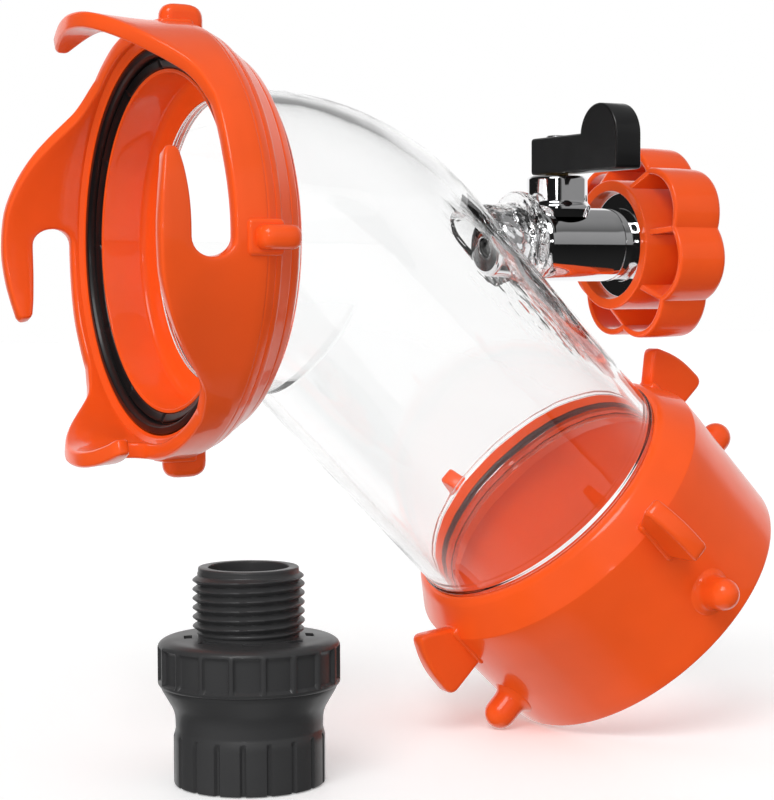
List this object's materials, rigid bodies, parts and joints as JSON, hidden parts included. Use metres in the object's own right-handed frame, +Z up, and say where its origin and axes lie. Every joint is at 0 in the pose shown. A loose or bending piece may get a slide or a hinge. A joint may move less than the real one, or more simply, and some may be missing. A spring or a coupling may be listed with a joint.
{
  "type": "sewer rinsing elbow kit",
  "caption": "Clear bent sewer elbow with a hooked bayonet ring, lug adapter and ball valve inlet, with a separate hose backflow preventer.",
  "frame": {"origin": "centre of the bayonet mouth at the plane of its face seal", "axes": "+X from the mouth into the elbow and on along the valve, +Z up, the outlet leg slopes 45 degrees down towards +X"},
  "size_m": [0.1957, 0.116, 0.188],
  "materials": {
    "clear_plastic": "water-clear polished plastic",
    "orange_plastic": "smooth injection-moulded orange plastic with a soft gloss",
    "black_rubber": "smooth black rubber",
    "chrome": "polished chrome plate",
    "brass": "turned brass",
    "steel": "stainless steel",
    "black_plastic": "black coated lever, satin gloss",
    "charcoal_plastic": "fine-textured charcoal plastic",
    "white_plastic": "white low-friction plastic"
  },
  "bodies": {
    "elbow": {"clear_elbow": "clear_plastic", "seal_sleeve": "orange_plastic", "bayonet_seal": "black_rubber", "valve_body": "chrome", "ball_seat_inlet": "white_plastic", "ball_seat_outlet": "white_plastic", "stem_gland": "brass", "valve_tailpiece": "chrome"},
    "bayonet_ring": {"bayonet_ring": "orange_plastic", "ring_rear_collar": "orange_plastic"},
    "lug_adapter": {"lug_adapter": "orange_plastic", "adapter_o_ring": "black_rubber", "adapter_retaining_ring": "orange_plastic"},
    "valve_lever": {"valve_lever": "black_plastic", "valve_stem": "brass", "valve_ball": "chrome", "stem_o_ring": "black_rubber", "lever_screw": "steel"},
    "hose_nut": {"hose_nut": "orange_plastic", "hose_washer": "black_rubber"},
    "backflow_preventer": {"preventer_inlet_body": "charcoal_plastic", "preventer_outlet_body": "charcoal_plastic", "preventer_washer": "black_rubber", "preventer_diaphragm": "black_rubber", "check_seat": "white_plastic", "poppet_guide": "white_plastic", "poppet_spring": "steel"},
    "check_poppet": {"check_poppet": "white_plastic", "poppet_seal": "black_rubber"}
  },
  "joints": [
    {"name": "bayonet_turn", "type": "hinge", "parent": "elbow", "child": "bayonet_ring", "pos_m": [0, 0, 0], "axis": [1, 0, 0], "continuous": true},
    {"name": "adapter_swivel", "type": "hinge", "parent": "elbow", "child": "lug_adapter", "pos_m": [0.11049, 0, -0.06569], "axis": [0.7071, 0, -0.7071], "continuous": true},
    {"name": "lever_turn", "type": "hinge", "parent": "elbow", "child": "valve_lever", "pos_m": [0.1171, 0, 0.02], "axis": [0, 0, 1], "range_deg": [-90, 0]},
    {"name": "nut_spin", "type": "hinge", "parent": "elbow", "child": "hose_nut", "pos_m": [0.14, 0, 0], "axis": [1, 0, 0], "continuous": true},
    {"name": "preventer_lift", "type": "slide", "parent": "elbow", "child": "backflow_preventer", "axis": [0, 0, 1], "range_m": [0, 0.015]},
    {"name": "poppet_slide", "type": "slide", "parent": "backflow_preventer", "child": "check_poppet", "axis": [0, 0, 1], "range_m": [0, 0.003], "stiffness_N_per_m": 60, "springref_m": -0.006, "deforming": ["poppet_spring"]}
  ]
}
